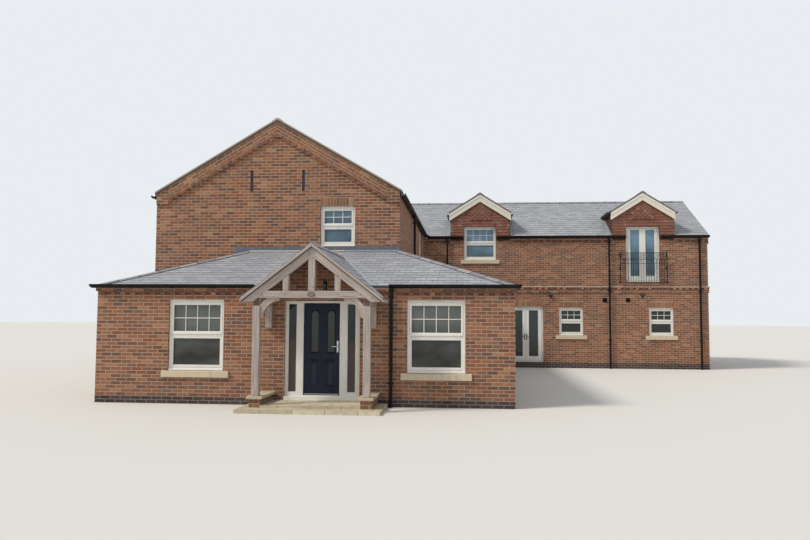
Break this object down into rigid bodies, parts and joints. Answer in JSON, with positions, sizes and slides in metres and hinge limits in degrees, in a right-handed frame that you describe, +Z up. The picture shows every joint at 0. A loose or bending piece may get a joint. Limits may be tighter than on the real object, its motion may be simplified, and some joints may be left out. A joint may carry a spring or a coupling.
{
  "type": "detached house",
  "caption": "Detached brick house with a gabled block, a dormered side wing, a hipped slate lean-to and an oak porch over the front door.",
  "frame": {"origin": "outer front left corner of the lean-to, at ground level", "axes": "+X right along the front walls, +Y back into the plot, +Z up"},
  "size_m": [16.525, 19.435, 6.773],
  "materials": {
    "brick": "matt",
    "blue_brick": "satin",
    "slate": "matt",
    "hung_tile": "matt",
    "floor": "matt",
    "lead": "matt",
    "sill_stone": "matt",
    "flagstone": "matt",
    "frame_paint": "satin",
    "cream_paint": "satin",
    "window_glass": "gloss",
    "navy_paint": "satin",
    "chrome": "gloss",
    "iron": "satin",
    "gutter_black": "satin",
    "oak": "matt",
    "lamp_metal": "satin"
  },
  "bodies": {
    "house": {"blue_plinth": "blue_brick", "floors": "floor", "extension_wall_left": "brick", "extension_wall_right": "brick", "extension_wall_over_door": "brick", "extension_left_side_wall": "brick", "extension_right_side_wall": "brick", "main_front_gable": "brick", "main_rear_gable": "brick", "main_left_wall": "brick", "main_right_wall": "brick", "wing_front_wall_left": "brick", "wing_front_wall_right": "brick", "wing_wall_over_french_doors": "brick", "wing_rear_wall": "brick", "wing_end_gable": "brick", "brick_bands": "brick", "main_roof": "slate", "wing_roof": "slate", "extension_roof": "slate", "ridge_and_hip_tiles": "slate", "lead_flashings": "lead", "dormer_walls": "hung_tile", "dormer_roofs": "slate", "dormer_bargeboards": "cream_paint", "ground_window_frames": "frame_paint", "ground_window_glass": "window_glass", "upper_window_frames": "frame_paint", "upper_window_glass": "window_glass", "stone_sills": "sill_stone", "juliet_doors": "frame_paint", "juliet_balcony": "iron", "porch_dwarf_walls": "brick", "porch_stonework": "flagstone", "porch_frame": "oak", "porch_truss": "oak", "porch_braces": "oak", "porch_roof": "slate", "front_door_screen": "frame_paint", "french_door_frame": "frame_paint", "gutters": "gutter_black", "downpipes": "gutter_black", "wall_lights": "lamp_metal"},
    "front_door_leaf": {"front_door": "navy_paint", "front_door_glass": "window_glass", "front_door_handle": "chrome"},
    "french_left_leaf": {"french_leaf_left": "frame_paint", "french_glass_left": "window_glass"},
    "french_right_leaf": {"french_leaf_right": "frame_paint", "french_glass_right": "window_glass"}
  },
  "joints": [
    {"name": "front_door_hinge", "type": "hinge", "parent": "house", "child": "front_door_leaf", "pos_m": [4.449, 0.135, 1], "axis": [0, 0, 1], "range_deg": [0, 90]},
    {"name": "french_left_hinge", "type": "hinge", "parent": "house", "child": "french_left_leaf", "pos_m": [9.332, 11.875, 1], "axis": [0, 0, -1], "range_deg": [0, 95]},
    {"name": "french_right_hinge", "type": "hinge", "parent": "house", "child": "french_right_leaf", "pos_m": [10.452, 11.875, 1], "axis": [0, 0, 1], "range_deg": [0, 95]}
  ]
}
